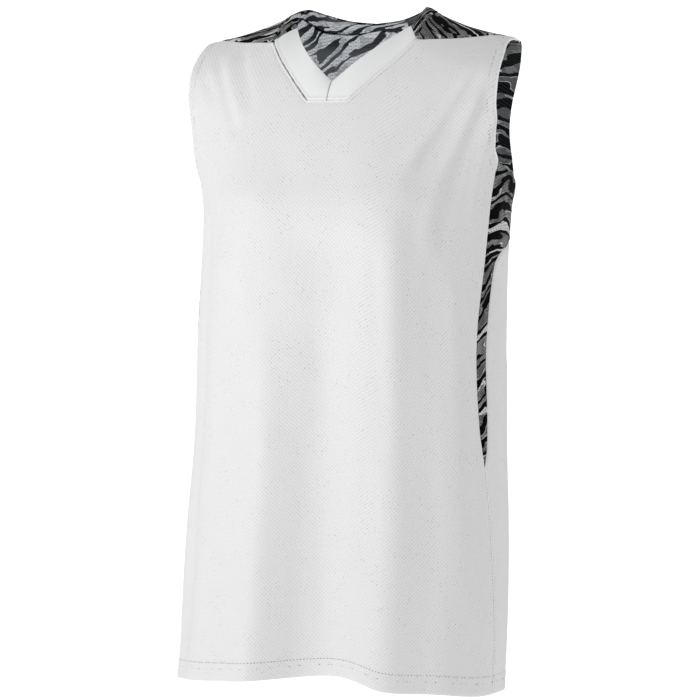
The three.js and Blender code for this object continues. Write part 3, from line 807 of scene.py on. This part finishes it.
def knit_white(wire, uv):
    across, along = uv_parts(wire, uv)
    neck, armhole, seam = from_edges(wire)
    hole = holes(across, along, 0.0038, 0.0038, 1.0)
    patchy = noise(wire, uv, 42.0).step(0.42, 0.62) + armhole.step(0.011, 0.008)
    opened = noise(wire, uv, 330.0).step(0.55, 0.66) * patchy
    fine = noise(wire, uv, 900.0)
    broad = noise(wire, uv, 14.0)
    cloth = (broad * 0.5 + fine * 0.5).mix(grey(231), grey(236))
    # Painted shade in the holes: each hole is darkened towards grey 130, more where the noise opens
    # it and within about 10 mm of the armhole.
    colour = (hole * (opened * 0.16 + 0.12)).mix(cloth, grey(130, 1))
    # Painted highlight: a near-white line along the armhole edge, along the panel seams and beside
    # the neck seam.
    painted_edge_highlight = armhole.step(0.0022, 0.001).math("MAXIMUM", seam.step(0.0016, 0.0007) * 0.7)
    painted_edge_highlight = painted_edge_highlight.math("MAXIMUM", neck.step(0.0026, 0.0014) * 0.9)
    colour = painted_edge_highlight.mix(colour, grey(254))
    rough = 0.7 + fine * 0.12 + hole * 0.1
    height = hole * (opened * 0.9 + 0.5) * -0.00024 + fine * 0.00005
    return colour, rough, height


def knit_white_inside(wire, uv):
    across, along = uv_parts(wire, uv)
    hole = holes(across, along, 0.0038, 0.0038, 1.0)
    # Painted shade in the holes: each hole is darkened towards grey 170.
    colour = (hole * 0.6).mix(grey(222, 1), grey(170, 1))
    rough = 0.8 + hole * 0.1
    height = hole * -0.00018 + ribs(along, 0.0011) * 0.00005
    return colour, rough, height


def band_white(wire, uv):
    across, along = uv_parts(wire, uv)
    neck, armhole, seam = from_edges(wire)
    place = wire.node("ShaderNodeTexCoord", output=3)
    from_middle = wire.node("ShaderNodeSeparateXYZ", None, {0: place}, output=0)
    fine = noise(wire, uv, 1100.0)
    rib = ribs(across, 0.0013)
    cloth = (rib * 0.4 + fine * 0.3).mix(grey(240, 1), grey(246, 1))
    # Painted shade in the neck seam: grey 84 along the seam, broken by noise, strong on the wearer's
    # right of the V and faint elsewhere, and a line of painted shade at the mitre in the middle. The
    # same mask also sinks the bump there.
    seam_shade_strength = noise(wire, uv, 160.0).step(0.38, 0.56) * 0.45 + 0.5
    seam_shade_strength = seam_shade_strength * (from_middle.step(-0.0195, -0.0225) * 0.88 + 0.12)
    mitre_groove_and_shade = from_middle.math("ABSOLUTE").step(0.0008, 0.0003) * 0.6
    seam_groove_and_shade = (neck.step(0.0012, 0.0005) * seam_shade_strength).math("MAXIMUM", mitre_groove_and_shade)
    colour = seam_groove_and_shade.mix(cloth, grey(84, 2))
    rough = 0.66 + fine * 0.14
    height = rib * 0.00003 + fine * 0.00004 + seam_groove_and_shade * -0.0002
    return colour, rough, height


def print_strokes(wire, uv):
    """Slanting torn strokes: how black, how pale and how much of a fine vein each place is."""
    turned = wire.node(
        "ShaderNodeMapping", {"vector_type": "TEXTURE"},
        {"Vector": uv, "Rotation": (0, 0, math.radians(27)), "Scale": (0.034, 0.0125, 1.0)},
    )
    moved = wire.node("ShaderNodeMapping", None, {"Vector": turned, "Location": (7.3, 2.9, 4.1)})
    across = wire.node("ShaderNodeSeparateXYZ", None, {0: turned}, output=1)
    wander = noise(wire, turned, 0.55, 2.5) - 0.5
    torn = noise(wire, turned, 0.95, 1.5, 0.4) - 0.5
    light = noise(wire, moved, 0.8, 1.5, 0.4) - 0.5
    phase = across + wander * 3.6
    wave = (phase * (2 * math.pi)).math("COSINE") + torn * 4.2
    pale_wave = (phase * math.pi + 1.1).math("COSINE") + light * 5.0
    black = wave.step(0.1, 0.24)
    pale = pale_wave.step(1.1, 1.3)
    vein = (wave + 0.22).math("ABSOLUTE").step(0.15, 0.06) * light.step(-0.04, 0.02)
    return black, pale, vein


def mesh_rows(across, along):
    """Columns of small holes in the printed mesh: 1 in a hole."""
    return holes(across, along, 0.0056, 0.0036, 0.9)


def mesh_printed(wire, uv):
    across, along = uv_parts(wire, uv)
    black, pale, vein = print_strokes(wire, uv)
    hole = mesh_rows(across, along)
    ground = noise(wire, uv, 60.0).step(0.35, 0.65).mix(grey(98, 1), grey(142, 1))
    ground = pale.mix(ground, grey(214, 2))
    ground = (vein * 0.9).mix(ground, grey(236, 2))
    colour = black.mix(ground, grey(6, 1))
    # Painted shade in the holes: each hole is darkened towards a darker grey of the print around it.
    behind = black.mix(pale.mix(grey(52, 1), grey(90, 1)), grey(20, 1))
    colour = (hole * 0.8).mix(colour, behind)
    fine = noise(wire, uv, 900.0)
    rough = 0.68 + fine * 0.12
    height = hole * -0.0003 + fine * 0.00005 + ribs(across, 0.0028) * 0.00012
    return colour, rough, height


def mesh_printed_inside(wire, uv):
    across, along = uv_parts(wire, uv)
    black, pale, vein = print_strokes(wire, uv)
    hole = mesh_rows(across, along)
    neck, armhole, seam = from_edges(wire)
    # Darker within 30 to 60 mm of the armhole: a grey 92 ground, black strokes and greyer pale
    # patches.
    near_armhole = armhole.step(0.06, 0.03)
    ground = near_armhole.mix(grey(236, 8), grey(92, 1))
    ground = (noise(wire, uv, 75.0).step(0.5, 0.6) * 0.55).mix(ground, grey(150, 6))
    stroke = neck.step(0.024, 0.01).mix(grey(92, 6), grey(44, 3))
    stroke = near_armhole.mix(stroke, grey(10, 1))
    patch = near_armhole.mix(grey(246, 6), grey(185, 2))
    colour = pale.mix(ground, patch)
    colour = black.mix(colour, stroke)
    colour = (vein * 0.9).mix(colour, grey(250, 4))
    # Painted shade in the holes, darkened towards grey 124 outside the black strokes; the rib columns
    # are darker stripes of the knit.
    rows = ribs(along, 0.0036) * 0.35 * (1 - black * 0.7)
    colour = (hole * (1 - black) * 0.4 + rows).mix(colour, grey(124, 6))
    fine = noise(wire, uv, 900.0)
    rough = 0.78 + fine * 0.1
    height = hole * -0.00025 + ribs(across, 0.0028) * 0.0001
    return colour, rough, height


def thread(level):
    def coloured(wire, uv):
        place = wire.node("ShaderNodeTexCoord", output=3)
        twist = noise(wire, place, 2500.0)
        return twist.mix(grey(level - 8), grey(level + 6)), 0.6 + twist * 0.2, twist * 0.00004
    return coloured


white_knit = finish("white micro-mesh knit", knit_white)
white_knit_inside = finish("white knit, inside", knit_white_inside)
white_band = finish("white neckband rib", band_white)
printed_mesh = finish("printed mesh", mesh_printed, specular=0.02)
# The inside of the print glows with painted light, standing in for light through the thin cloth.
printed_mesh_inside = finish("printed mesh, inside", mesh_printed_inside, specular=0.02, glow=0.22)
white_thread = finish("white thread", thread(232))
black_thread = finish("black thread", thread(34))
# Painted shade: the dark dots between stitches, on white cloth and on the print.
white_stitch_shade = finish("painted stitch shade on white", thread(96))
black_stitch_shade = finish("painted stitch shade on print", thread(14))


# The sewn pieces.

CLOTH = 1.1
BAND = 1.8

front = joined(place(front_body, on_body, 0), place(front_chest, on_shoulder, 0))
front_cloth = cloth_piece(
    "front_cloth", [dressed(front)], CLOTH, white_knit, white_knit_inside,
    "front_panel",
)
back_cloth = cloth_piece(
    "back_cloth", [dressed(place(back_patch(), on_body, 0))], CLOTH, white_knit,
    white_knit_inside, "back_panel",
)
yoke = dressed(joined(place(yoke_body, on_body, 0), place(yoke_back, on_shoulder, 0)))
yoke_cloth = cloth_piece(
    "yoke_cloth", [yoke, strap_patch(1, yoke), strap_patch(-1, yoke)], CLOTH, printed_mesh,
    printed_mesh_inside, "back_yoke",
)
side_cloths = [
    cloth_piece(
        f"side_cloth_{name}", [dressed(place(side_body, on_body, side))], CLOTH, printed_mesh,
        printed_mesh_inside, f"side_panel_{name}",
    )
    for name, side in (("left", 1), ("right", -1))
]
turn = len(neck_front)
bands = [
    cloth_piece(
        f"band_front_{name}", [dressed(collar_patch(side, 0, turn))], BAND, white_band,
        white_band, f"collar_front_{name}",
    )
    for name, side in (("left", 1), ("right", -1))
]
right_half = collar_patch(-1, turn - 1, None)
back_half = np.concatenate([right_half, collar_patch(1, turn - 1, None)[:, :, -2::-1]], axis=2)
bands.append(
    cloth_piece(
        "band_back", [dressed(back_half)], BAND, printed_mesh, printed_mesh_inside,
        "collar_back",
    )
)


# Stitching.

def beside(line, surface, distance, moves=4):
    """A line moved sideways over the cloth: to its left, seen along it from outside."""
    for _ in range(moves):
        points, normals = on_cloth(surface, line)
        inward = np.cross(normals, unit(np.gradient(points, axis=0))) * (distance / moves)
        a, b = slopes_of(surface, line)
        aa, ab, bb = (a * a).sum(-1), (a * b).sum(-1), (b * b).sum(-1)
        at_a, at_b = (a * inward).sum(-1), (b * inward).sum(-1)
        scale = aa * bb - ab * ab
        shift = np.stack([at_a * bb - at_b * ab, at_b * aa - at_a * ab], -1) / scale[:, None]
        line = line + shift
    return line


STITCH = 2.2
STITCH_PITCH = 3.3
STITCH_RADIUS = 0.36
STITCH_SHADE_DOT = 0.55


def stitch_row(bm, surface, line):
    """Stitches at even steps along a line on the cloth, with a flat dark dot after each where the
    thread goes down, its darkness painted shade.
    """
    points, normals = on_cloth(surface, line)
    distance = away(points)
    run = np.concatenate([[0], np.cumsum(np.linalg.norm(np.diff(points, axis=0), axis=1))])
    points = points + normals * relief(distance, run)[:, None]
    for at in np.arange(STITCH_PITCH / 2, run[-1], STITCH_PITCH / 2):
        middle, ahead, normal = (
            Vector([np.interp(place, run, column) for column in grid.T])
            for place, grid in ((at, points), (at + 1, points), (at, normals))
        )
        ahead -= middle
        if ahead.length < 0.1:
            continue
        ahead.normalize()
        normal.normalize()
        side = normal.cross(ahead).normalized()
        # Every other place is a flat dark dot of painted shade where the thread goes down, in place
        # of a stitch.
        is_shade_dot = round(at / (STITCH_PITCH / 2)) % 2 == 0
        flat = STITCH_SHADE_DOT, STITCH_SHADE_DOT * 0.8, 0.12, 1
        size = Matrix.Diagonal(flat if is_shade_dot else (STITCH / 2, STITCH_RADIUS, STITCH_RADIUS, 1))
        lift = Matrix.Translation(normal * (0.02 if is_shade_dot else 0.12))
        turn = Matrix((ahead, side, normal)).transposed().to_4x4()
        where = Matrix.Scale(MM, 4) @ Matrix.Translation(middle) @ lift @ turn @ size
        made = bmesh.ops.create_icosphere(bm, subdivisions=1, radius=1, matrix=where)
        for face in {face for vert in made["verts"] for face in vert.link_faces}:
            face.material_index = int(is_shade_dot)


def stitching(name, rows, materials):
    """One piece of stitching from its rows, each a surface and a line on it."""
    bm = bmesh.new()
    for surface, line in rows:
        stitch_row(bm, surface, line)
    bmesh.ops.recalc_face_normals(bm, faces=bm.faces)
    for face in bm.faces:
        face.smooth = True
    mesh = bpy.data.meshes.new(name)
    bm.to_mesh(mesh)
    bm.free()
    for material in materials:
        mesh.materials.append(material)
    piece = bpy.data.objects.new(name, mesh)
    bpy.context.scene.collection.objects.link(piece)
    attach(piece, "root")
    return piece


def both_sides(surface, line, distance):
    """The same row on both sides of the garment."""
    return [
        (surface, beside(line, surface, distance)),
        (surface, beside(mirrored(line)[::-1], surface, distance)),
    ]


on_white = white_thread, white_stitch_shade
on_print = black_thread, black_stitch_shade
hem_stitching = stitching(
    "hem_stitching", [(on_body, hem_places + (0, row)) for row in HEM_ROWS], on_white
)
armhole_stitching = stitching(
    "armhole_stitching", both_sides(on_shoulder, armhole_front, ARMHOLE_ROW), on_white,
)
armhole_print_stitching = stitching(
    "armhole_print_stitching",
    both_sides(on_shoulder, armhole_back[::-1], ARMHOLE_ROW)
    + both_sides(on_shoulder, armhole_top[::-1], ARMHOLE_ROW)
    + both_sides(on_body, armhole_foot[::-1], ARMHOLE_ROW),
    on_print,
)
neck_stitching = stitching(
    "neck_stitching", both_sides(on_shoulder, neck_front[::-1], SEAM_ROW), on_white
)
side_stitching = stitching(
    "side_stitching", both_sides(on_body, side_seam, 1.4), on_white
)


# The sheets' cuts.

def cut_size(piece):
    """The width, length and area of a piece's cloth laid flat, from its lengths along the cloth."""
    uv = np.empty(len(piece.data.loops) * 2)
    piece.data.uv_layers["cloth"].data.foreach_get("uv", uv)
    span = np.ptp(uv.reshape(-1, 2), axis=0)
    area = sum(face.area for face in piece.data.polygons)
    return span, area


for piece in (front_cloth, back_cloth, yoke_cloth, *side_cloths, *bands):
    span, area = cut_size(piece)
    print(piece.name, [round(float(s), 4) for s in span], round(area, 4), len(piece.data.polygons))


# Stage, light and camera.

BACKDROP_GLOW = -1.27, 3.5, -0.33


def studio_white(wire):
    """Pale on the floor, with a soft white glow on the backdrop behind the garment."""
    place = wire.node("ShaderNodeTexCoord", output=3)
    inputs = {0: place, 1: BACKDROP_GLOW}
    far = wire.node("ShaderNodeVectorMath", {"operation": "DISTANCE"}, inputs, output=1)
    return far.step(2.6, 1.3).mix(grey(205), grey(255))


def studio_stage():
    """A pale floor that curves up into a backdrop."""
    bm = bmesh.new()
    bmesh.ops.create_grid(bm, x_segments=24, y_segments=24, size=6)
    floor, start, radius = -1.35, 2.2, 1.6
    for vert in bm.verts:
        past = vert.co.y - start
        vert.co.z = floor
        if past > 0:
            turn = min(past / radius, math.pi / 2)
            vert.co.y = start + radius * math.sin(turn)
            vert.co.z = floor + radius * (1 - math.cos(turn)) + max(0, past - radius * turn) * 1.6
    for face in bm.faces:
        face.smooth = True
    mesh = bpy.data.meshes.new("studio_floor")
    bm.to_mesh(mesh)
    bm.free()
    material = bpy.data.materials.new("studio white")
    material.use_nodes = True
    shader = material.node_tree.nodes["Principled BSDF"]
    shader.inputs["Base Color"].default_value = (0.85, 0.85, 0.85, 1)
    shader.inputs["Roughness"].default_value = 0.9
    glow = studio_white(Wire(material.node_tree))
    material.node_tree.links.new(glow.socket, shader.inputs["Emission Color"])
    shader.inputs["Emission Strength"].default_value = 0.6
    mesh.materials.append(material)
    floor = bpy.data.objects.new("studio_floor", mesh)
    bpy.context.scene.collection.objects.link(floor)


def soft_light(name, place, target, power, size):
    light = bpy.data.lights.new(name, "AREA")
    light.energy, light.size, light.shape = power, size, "DISK"
    lamp = bpy.data.objects.new(name, light)
    lamp.location = place
    lamp.rotation_euler = (Vector(target) - Vector(place)).to_track_quat("-Z", "Y").to_euler()
    bpy.context.scene.collection.objects.link(lamp)


studio_stage()
soft_light("key", (-0.64, -1.13, -0.14), (0, 0, -0.27), 5.5, 0.9)

world = bpy.data.worlds.new("studio")
bpy.context.scene.world = world
world.use_nodes = True
world.node_tree.nodes["Background"].inputs["Color"].default_value = (1, 1, 1, 1)
world.node_tree.nodes["Background"].inputs["Strength"].default_value = 0.605
bpy.context.scene.view_settings.view_transform = "Standard"

CAMERA_TURN = math.radians(20)
CAMERA_ROLL = math.radians(1.1)
CAMERA_AWAY = 2.8
camera_data = bpy.data.cameras.new("camera")
camera = bpy.data.objects.new("camera", camera_data)
bpy.context.scene.collection.objects.link(camera)
back = Vector((math.sin(CAMERA_TURN), -math.cos(CAMERA_TURN), 0))
across = Vector((math.cos(CAMERA_TURN), math.sin(CAMERA_TURN), 0))
up = Vector((0, 0, 1))
rolled = (
    across * math.cos(CAMERA_ROLL) + up * math.sin(CAMERA_ROLL),
    up * math.cos(CAMERA_ROLL) - across * math.sin(CAMERA_ROLL),
    back,
)
camera.matrix_world = (
    Matrix.Translation(Vector((0, 0, -0.33)) + back * CAMERA_AWAY)
    @ Matrix(rolled).transposed().to_4x4()
)
camera_data.lens, camera_data.sensor_width = 144, 36
camera_data.shift_x, camera_data.shift_y = -4 / 700, -3 / 700
bpy.context.scene.camera = camera
